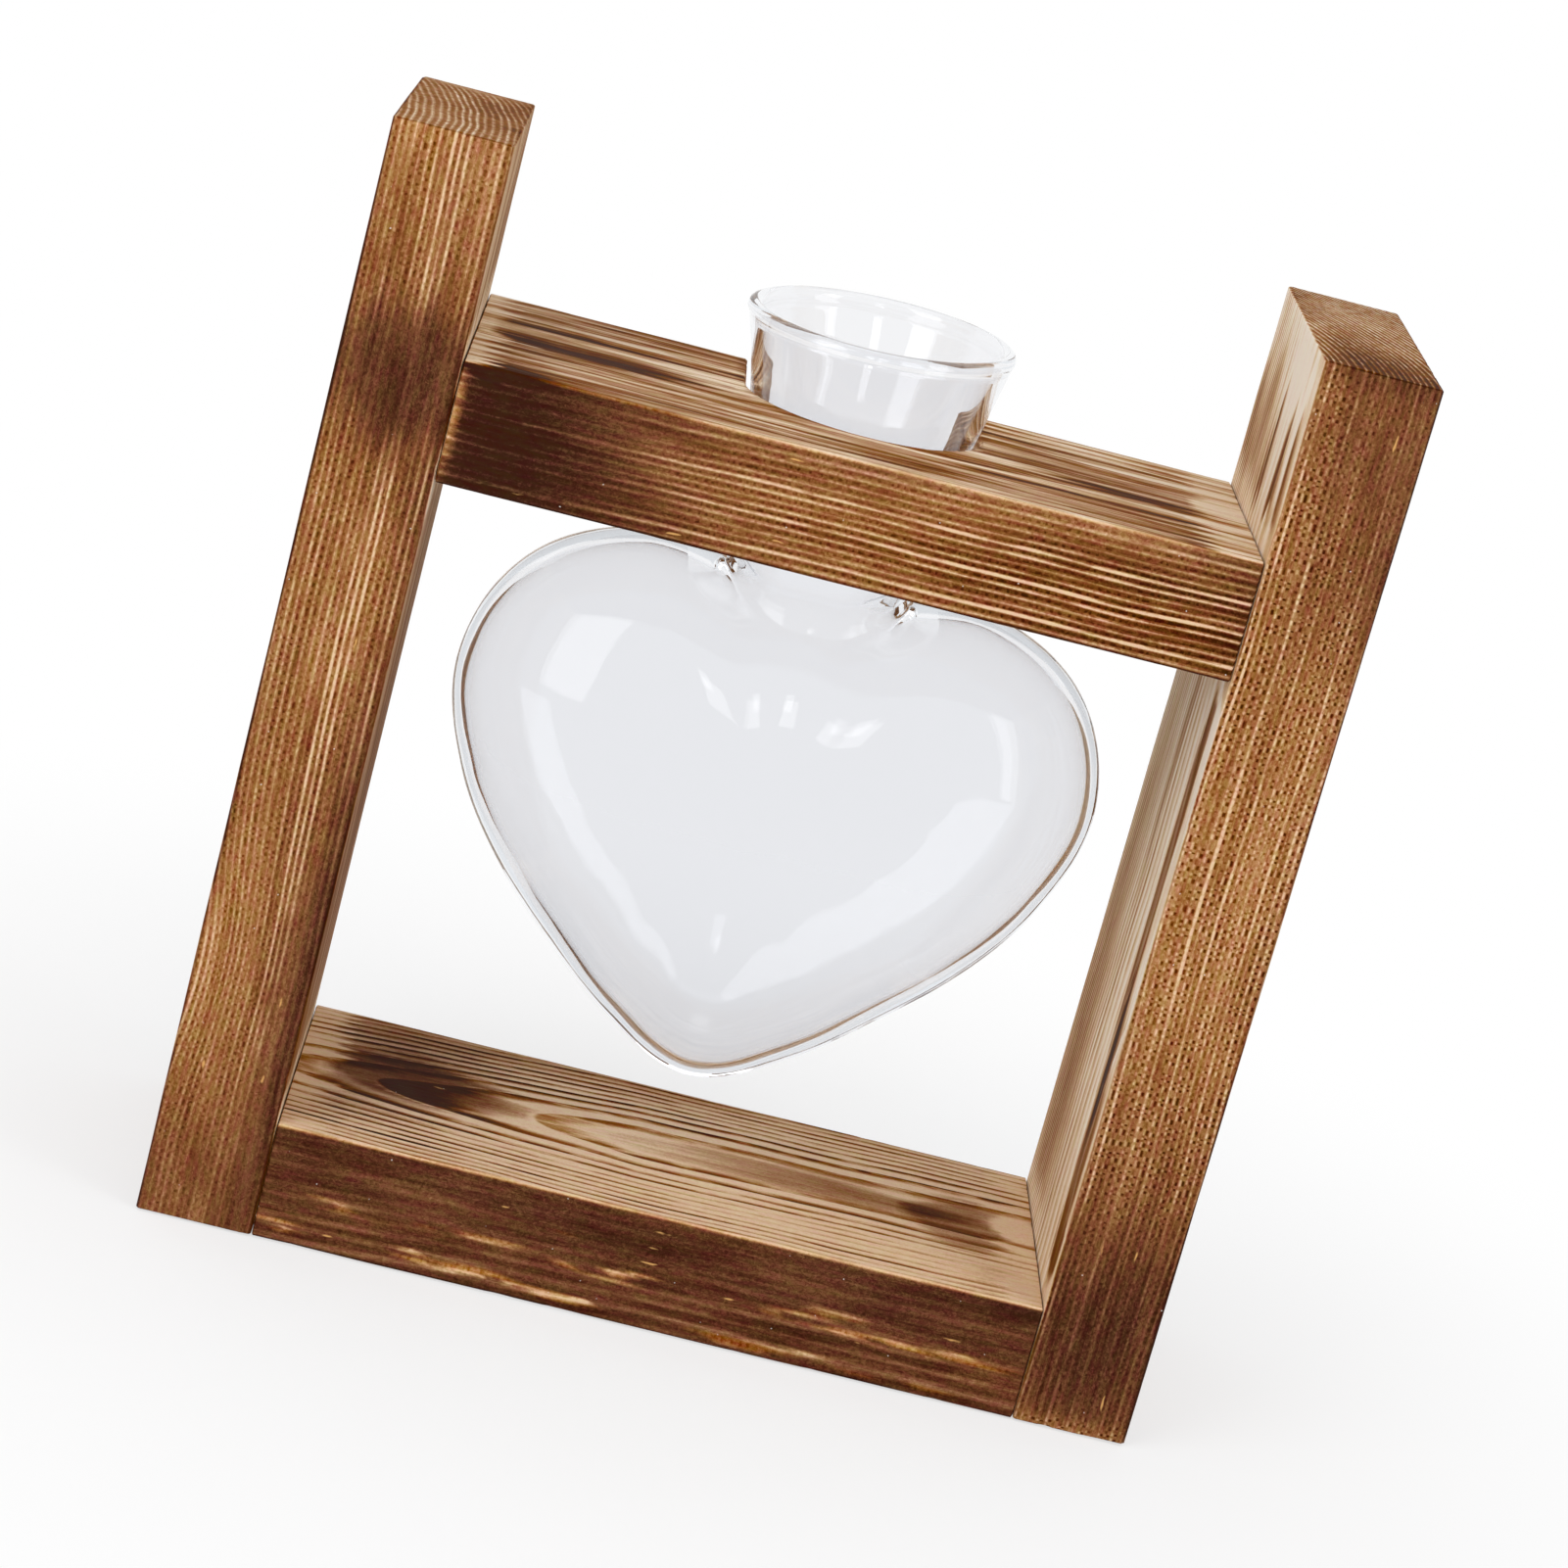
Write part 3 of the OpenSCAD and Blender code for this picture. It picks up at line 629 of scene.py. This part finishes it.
def notch_cutter(low, high):
    """The waste of the U-shaped notch, flared a little where it meets the rail's faces."""
    arc_steps, straight_steps, middle_levels = 56, 14, 8
    overrun, margin = 1.0, 2.0
    bottom, top, flare = low[2], high[2], NOTCH_FLARE
    arc = [math.pi * (1 + i / arc_steps) for i in range(arc_steps + 1)]
    backs = np.linspace(NECK_Y, high[1] + overrun, straight_steps + 1)[1:]
    levels = [(bottom - overrun, flare), (bottom, flare), (bottom + flare, 0)]
    levels += [(z, 0) for z in np.linspace(bottom + margin, top - margin, middle_levels)]
    levels += [(top - flare, 0), (top, flare), (top + overrun, flare)]
    points = []
    for z, wider in levels:
        r = NOTCH_R + wider
        points += [(-r, y, z) for y in backs[::-1]]
        points += [(r * math.cos(a), NECK_Y + r * math.sin(a), z) for a in arc]
        points += [(r, y, z) for y in backs]
    n = len(points) // len(levels)
    faces = [(i * n + k, i * n + (k + 1) % n, (i + 1) * n + (k + 1) % n, (i + 1) * n + k)
             for i in range(len(levels) - 1) for k in range(n)]
    faces.append(tuple(reversed(range(n))))
    faces.append(tuple(range(len(points) - n, len(points))))
    return new_mesh("notch_cutter", points, faces)


def cut_notch(rail, low, high):
    """Cuts the notch out of the rail's mesh; returns its new points and normals."""
    cutter = notch_cutter(low, high)
    cut = rail.modifiers.new("notch", "BOOLEAN")
    cut.operation = "DIFFERENCE"
    cut.solver = "EXACT"
    cut.object = cutter
    graph = bpy.context.evaluated_depsgraph_get()
    made = bpy.data.meshes.new_from_object(rail.evaluated_get(graph))
    rail.modifiers.clear()
    rail.data = made
    bpy.data.objects.remove(cutter)
    points = np.array([v.co for v in made.vertices]) / MM
    normals = np.array([v.normal for v in made.vertices])
    return points, normals


def make_timber(node, timber, material):
    points, quads, normals, low, high = timber_blank(node, timber)
    if node in TOP_DROPS:
        points = saw_top(points, low, high, *TOP_DROPS[node])
    obj = new_mesh(node + "_wood", points, quads)
    if node == "upper_rail":
        points, normals = cut_notch(obj, low, high)
    dress_wood(obj, points, normals, timber)
    obj.data.materials.clear()
    obj.data.materials.append(material)
    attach(obj, "stand")
    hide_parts(node)


pine = torched_pine()
for node, timber in TIMBERS.items():
    make_timber(node, timber, pine)


# Dowels

def beech():
    """Raw beech: fine straight fibres along X with short dark rays."""
    material, tree, shader = new_material("dowel_beech")
    place = add_node(tree, "TexCoord").outputs["Object"]
    fibre = noise(tree, stretched(tree, place, (60, 1600, 1600)), 1.0, 4.0, 0.6)
    ray = remap(tree, noise(tree, stretched(tree, place, (400, 3000, 3000)), 1.0, 2.0), 0.62, 0.7)
    level = calc(tree, "MULTIPLY_ADD", ray, 0.4, fibre)
    colour = ramp(tree, level, [(0.25, srgb(222, 190, 150)), (0.55, srgb(204, 166, 122)),
                                (0.90, srgb(160, 116, 78))])
    tree.links.new(colour, shader.inputs["Base Color"])
    tree.links.new(calc(tree, "MULTIPLY_ADD", fibre, 0.2, 0.5), shader.inputs["Roughness"])
    bump = add_node(tree, "Bump", Strength=0.3, Distance=0.1 * MM, Height=fibre)
    tree.links.new(bump.outputs[0], shader.inputs["Normal"])
    return material


dowel_material = beech()
for node in ("upper_left_dowels", "upper_right_dowels", "lower_left_dowels",
             "lower_right_dowels"):
    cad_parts[node].data.materials.clear()
    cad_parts[node].data.materials.append(dowel_material)


# Glass vase

# Sizes in millimetres, heights from the top of the upper rail. The heart is 50 mm deep in the CAD
# model; this finer mesh is a hair less, so that it stays inside the CAD box.
RIM_R, THROAT_R, RIM_RISE, NECK_FOOT, WALL, BEAD_R = 22.1, 15.6, 14.6, -26.0, 2.0, 1.3
TILT_SIDE, TILT_FRONT = math.radians(2.2), math.radians(1.6)
HEART_W, HEART_D, HEART_DROP, FILLET = 108.6, 49.99, 65.0, 3.0
# The radius of the heart's outline, as a share of half its width, every 20 degrees from the tip
HEART_RADIUS_SHARE = [0.950, 0.868, 0.818, 0.846, 0.924, 1.013, 1.004, 0.876, 0.690, 0.680]
# How full the heart is, how late the collar flares, half the bead's arc in degrees, and how much
# closer together the heart's rings lie near the neck
PILLOW_POWER, FLARE_POWER, BEAD_HALF_ARC, RING_CROWDING = 2.3, 1.6, 128, 1.3
# Steps of the mesh round the vase, down the heart, up the neck and over the bead
ROUND_STEPS, HEART_STEPS, NECK_STEPS, BEAD_STEPS = 144, 110, 30, 14
BEAD_MID_R = RIM_R - BEAD_R
BEAD_MID_Z = RIM_RISE - BEAD_R
WALL_TOP = BEAD_MID_Z - BEAD_R * math.cos(math.radians(180 - BEAD_HALF_ARC))
LAST_SHARE = len(HEART_RADIUS_SHARE) - 1
# In the photograph the heart bends light less than the collar does, as thinner glass would, so its
# index of refraction is lower; the two kinds of glass meet inside the notch
HEART_BENDING, COLLAR_BENDING, COLLAR_FOOT = 1.30, 1.45, -12.0
# Towards its outline the heart bends light still less; EDGE_TURN says from where to where, with 0
# for glass that faces the ray and 1 for glass seen edge on
EDGE_BENDING, EDGE_TURN = 1.06, (0.45, 0.85)
# A ray that has bounced more often than this goes straight through the glass
LONGEST_PATH = 4
# Colour of the glass, and of what is seen straight through one side of its wall
GLASS_COLOUR, CLEAR_COLOUR = (0.895, 0.90, 0.917, 1), (0.93, 0.94, 0.95, 1)


def collar_r(z):
    """Outer radius of the neck and the flared collar at a height."""
    share = max(z - NECK_FOOT, 0) / (WALL_TOP - NECK_FOOT)
    return THROAT_R + (BEAD_MID_R + WALL / 2 - THROAT_R) * share ** FLARE_POWER


def outline_r(angle):
    """Radius of the heart's outline at angles from the tip, in degrees."""
    place = angle * LAST_SHARE / 180
    i = np.minimum(np.floor(place).astype(int), LAST_SHARE - 1)
    t = place - i
    shares = np.array(HEART_RADIUS_SHARE[1:2] + HEART_RADIUS_SHARE + HEART_RADIUS_SHARE[-2:-1])
    a, b, c, d = (shares[i + k] for k in range(4))
    blend = (2 * b + (c - a) * t + (2 * a - 5 * b + 4 * c - d) * t ** 2
             + (3 * b - a - 3 * c + d) * t ** 3) / 2
    return HEART_W / 2 * blend


def heart_skin(u, inset):
    """How far the heart's skin lies from its middle in each direction u."""
    flat = np.hypot(u[:, 0], u[:, 2])
    outline = outline_r(np.degrees(np.arctan2(np.abs(u[:, 0]), -u[:, 2]))) - inset
    half_depth = HEART_D / 2 - inset
    return ((flat / outline) ** PILLOW_POWER
            + (np.abs(u[:, 1]) / half_depth) ** PILLOW_POWER) ** (-1 / PILLOW_POWER)


def heart_ring(down, inset):
    """A ring of the heart at an angle from straight up, run into the neck with a fillet."""
    turn = np.arange(ROUND_STEPS) * 2 * math.pi / ROUND_STEPS
    u = np.stack([math.sin(down) * np.cos(turn), math.sin(down) * np.sin(turn),
                  np.full(ROUND_STEPS, math.cos(down))], -1)
    skin = heart_skin(u, inset)
    neck = (THROAT_R - inset) / math.sin(down) if down < math.pi / 2 else 0
    overlap = np.maximum(FILLET - np.abs(skin - neck), 0)
    reach = np.maximum(skin, neck) + overlap ** 2 / (4 * FILLET)
    return u * reach[:, None] - np.array([0, 0, HEART_DROP])


def heart_rings(inset):
    first = math.atan2(THROAT_R - inset, HEART_DROP + NECK_FOOT)
    return [heart_ring(first + (math.pi - first) * (i / HEART_STEPS) ** RING_CROWDING, inset)
            for i in range(1, HEART_STEPS)]


def neck_ring(r, z):
    """A ring of the neck, which tilts a little more the higher it is above the rail."""
    turn = np.arange(ROUND_STEPS) * 2 * math.pi / ROUND_STEPS
    x, y = r * np.cos(turn), r * np.sin(turn)
    side, front = (max(z, 0) / RIM_RISE * math.tan(tilt) for tilt in (TILT_SIDE, TILT_FRONT))
    return np.stack([x - side * z, y - front * z, z + side * x + front * y], -1)


def neck_rings(inset):
    heights = [NECK_FOOT + (WALL_TOP - NECK_FOOT) * i / NECK_STEPS for i in range(NECK_STEPS + 1)]
    return [neck_ring(collar_r(z) - inset, z) for z in heights]


def bead_rings():
    angles = [math.radians(BEAD_HALF_ARC * (1 - 2 * i / BEAD_STEPS)) for i in range(1, BEAD_STEPS)]
    return [neck_ring(BEAD_MID_R + BEAD_R * math.sin(a), BEAD_MID_Z + BEAD_R * math.cos(a))
            for a in angles]


def blown_glass(name, bending, edge_bending):
    """Clear glass with the faint waves of hand blowing; lamps and long-trapped rays pass through it."""
    material, tree, shader = new_material(name)
    shader.inputs["Base Color"].default_value = GLASS_COLOUR
    shader.inputs["Transmission Weight"].default_value = 1.0
    shader.inputs["IOR"].default_value = bending
    if edge_bending < bending:
        facing = add_node(tree, "LayerWeight", Blend=0.5).outputs["Facing"]
        falling = remap(tree, facing, *EDGE_TURN, bending, edge_bending)
        tree.links.new(falling, shader.inputs["IOR"])
    place = add_node(tree, "TexCoord").outputs["Object"]
    waves = noise(tree, place, 45, 2.0)
    smears = noise(tree, place, 220, 3.0)
    tree.links.new(remap(tree, smears, 0.5, 0.9, 0.0, 0.05), shader.inputs["Roughness"])
    height = calc(tree, "MULTIPLY_ADD", smears, 0.04, waves)
    bump = add_node(tree, "Bump", Strength=0.35, Distance=1.0 * MM, Height=height)
    tree.links.new(bump.outputs[0], shader.inputs["Normal"])
    clear = add_node(tree, "BsdfTransparent", Color=CLEAR_COLOUR)
    path = add_node(tree, "LightPath")
    trapped = calc(tree, "GREATER_THAN", path.outputs["Ray Depth"], LONGEST_PATH)
    passed = calc(tree, "MAXIMUM", path.outputs["Is Shadow Ray"], trapped)
    both = add_node(tree, "MixShader", s0=passed, s1=shader.outputs[0], s2=clear.outputs[0])
    tree.links.new(both.outputs[0], tree.nodes["Material Output"].inputs["Surface"])
    return material


def make_vase():
    outside = heart_rings(0)[::-1] + neck_rings(0) + bead_rings()
    inside = neck_rings(WALL)[::-1] + heart_rings(WALL)
    rings = outside + inside
    outer_tip = np.array([0, 0, -HEART_DROP - outline_r(np.zeros(1))[0]])
    points = np.concatenate(rings + [[outer_tip, outer_tip + [0, 0, WALL]]])
    points += [0, NECK_Y, RAIL_TOP]
    n, count = ROUND_STEPS, len(rings)
    faces = [(i * n + k, (i + 1) * n + k, (i + 1) * n + (k + 1) % n, i * n + (k + 1) % n)
             for i in range(count - 1) for k in range(n)]
    tip = count * n
    faces += [(tip, k, (k + 1) % n) for k in range(n)]
    last = (count - 1) * n
    faces += [(tip + 1, last + (k + 1) % n, last + k) for k in range(n)]
    obj = new_mesh("blown_vase", points, [f[::-1] for f in faces])
    obj.data.shade_smooth()
    obj.data.materials.append(blown_glass("heart_glass", HEART_BENDING, EDGE_BENDING))
    obj.data.materials.append(blown_glass("collar_glass", COLLAR_BENDING, COLLAR_BENDING))
    for face in obj.data.polygons:
        face.material_index = int(face.center.z > (RAIL_TOP + COLLAR_FOOT) * MM)
    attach(obj, "vase")
    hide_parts("glass_vase")


make_vase()


# Studio

AMBIENT = 0.42
# The floor, in millimetres: half its side, and how far it lies under the object, so that the two
# don't share a plane
FLOOR_HALF, FLOOR_SINK = 3000, 0.2
# It fades to white with the distance from the middle, in metres: from where to where, and how
# white it is there
FLOOR_FADE = (0.06, 0.24, 0.62, 1.0)
# Soft boxes: place, width and height in metres, and power in watts. The two windows are small and
# far in front; they put the small bright marks on the glass.
LAMPS = {
    "left_box": ((-0.75, -0.75, 0.55), (0.6, 1.3), 6),
    "right_box": ((0.8, -0.55, 0.45), (0.35, 0.9), 2.5),
    "top_box": ((0.0, -0.1, 1.1), (1.2, 1.2), 4),
    "left_window": ((0.01, -1.01, 0.57), (0.09, 0.16), 0.11),
    "right_window": ((0.06, -1.04, 0.47), (0.15, 0.24), 0.28),
}
LAMP_AIM = (0, 0, 0.09)


def seen_rays(tree):
    """1 for a ray from the camera or through gloss or glass, 0 for one that gathers light."""
    path = add_node(tree, "LightPath")
    seen = calc(tree, "MAXIMUM", path.outputs["Is Camera Ray"], path.outputs["Is Glossy Ray"])
    return calc(tree, "MAXIMUM", seen, path.outputs["Is Transmission Ray"])


def make_world():
    """White to the camera, to gloss and through glass; a soft ambient for the rest."""
    world = bpy.data.worlds.new("studio")
    bpy.context.scene.world = world
    world.use_nodes = True
    tree = world.node_tree
    tree.nodes.clear()
    soft = add_node(tree, "Background", Color=(0.97, 0.98, 1.0, 1), Strength=AMBIENT)
    white = add_node(tree, "Background", Color=(1, 1, 1, 1), Strength=1.0)
    both = add_node(tree, "MixShader", s0=seen_rays(tree), s1=soft.outputs[0],
                    s2=white.outputs[0])
    out = add_node(tree, "OutputWorld")
    tree.links.new(both.outputs[0], out.inputs["Surface"])


def make_floor():
    """A pale floor that takes the object's shadow and fades to white around it."""
    material, tree, shader = new_material("floor")
    shader.inputs["Base Color"].default_value = (0.93, 0.93, 0.93, 1)
    shader.inputs["Roughness"].default_value = 0.9
    shader.inputs["Specular IOR Level"].default_value = 0.1
    place = add_node(tree, "TexCoord").outputs["Object"]
    far = add_node(tree, "VectorMath", {"operation": "LENGTH"}, s0=place).outputs["Value"]
    white = add_node(tree, "Emission", Color=(1, 1, 1, 1), Strength=1.0)
    share = calc(tree, "MULTIPLY", remap(tree, far, *FLOOR_FADE), seen_rays(tree))
    both = add_node(tree, "MixShader", s0=share, s1=shader.outputs[0], s2=white.outputs[0])
    tree.links.new(both.outputs[0], tree.nodes["Material Output"].inputs["Surface"])
    corners = [(FLOOR_HALF * x, FLOOR_HALF * y, -FLOOR_SINK)
               for x, y in ((-1, -1), (1, -1), (1, 1), (-1, 1))]
    floor = new_mesh("floor", corners, [(0, 1, 2, 3)])
    floor.data.materials.append(material)


def make_lamp(name, at, size, power):
    """A soft box, turned to the middle of the object."""
    data = bpy.data.lights.new(name, "AREA")
    data.shape = "RECTANGLE"
    data.size, data.size_y = size
    data.energy = power
    lamp = bpy.data.objects.new(name, data)
    bpy.context.scene.collection.objects.link(lamp)
    lamp.location = at
    aim = Vector(LAMP_AIM) - Vector(at)
    lamp.rotation_euler = aim.to_track_quat("-Z", "Y").to_euler()


def make_camera():
    data = bpy.data.cameras.new("camera")
    data.sensor_width = SENSOR_MM
    data.lens = SENSOR_MM * FOCAL_PX / IMAGE_PX
    data.shift_x = (IMAGE_PX / 2 - CENTRE_PX[0]) / IMAGE_PX
    data.shift_y = (CENTRE_PX[1] - IMAGE_PX / 2) / IMAGE_PX
    data.clip_start = CLIP_START_M
    camera = bpy.data.objects.new("camera", data)
    bpy.context.scene.collection.objects.link(camera)
    camera.matrix_world = (
        Matrix.Translation(Vector(CAMERA_AT_MM) * MM)
        @ Matrix.Rotation(math.radians(CAMERA_TURN), 4, "Z")
        @ Matrix.Rotation(math.radians(90 - CAMERA_DIP), 4, "X")
        @ Matrix.Rotation(math.radians(CAMERA_ROLL), 4, "Z"))
    bpy.context.scene.camera = camera


make_world()
make_floor()
for name, lamp in LAMPS.items():
    make_lamp(name, *lamp)
make_camera()
bpy.context.scene.view_settings.view_transform = "Standard"
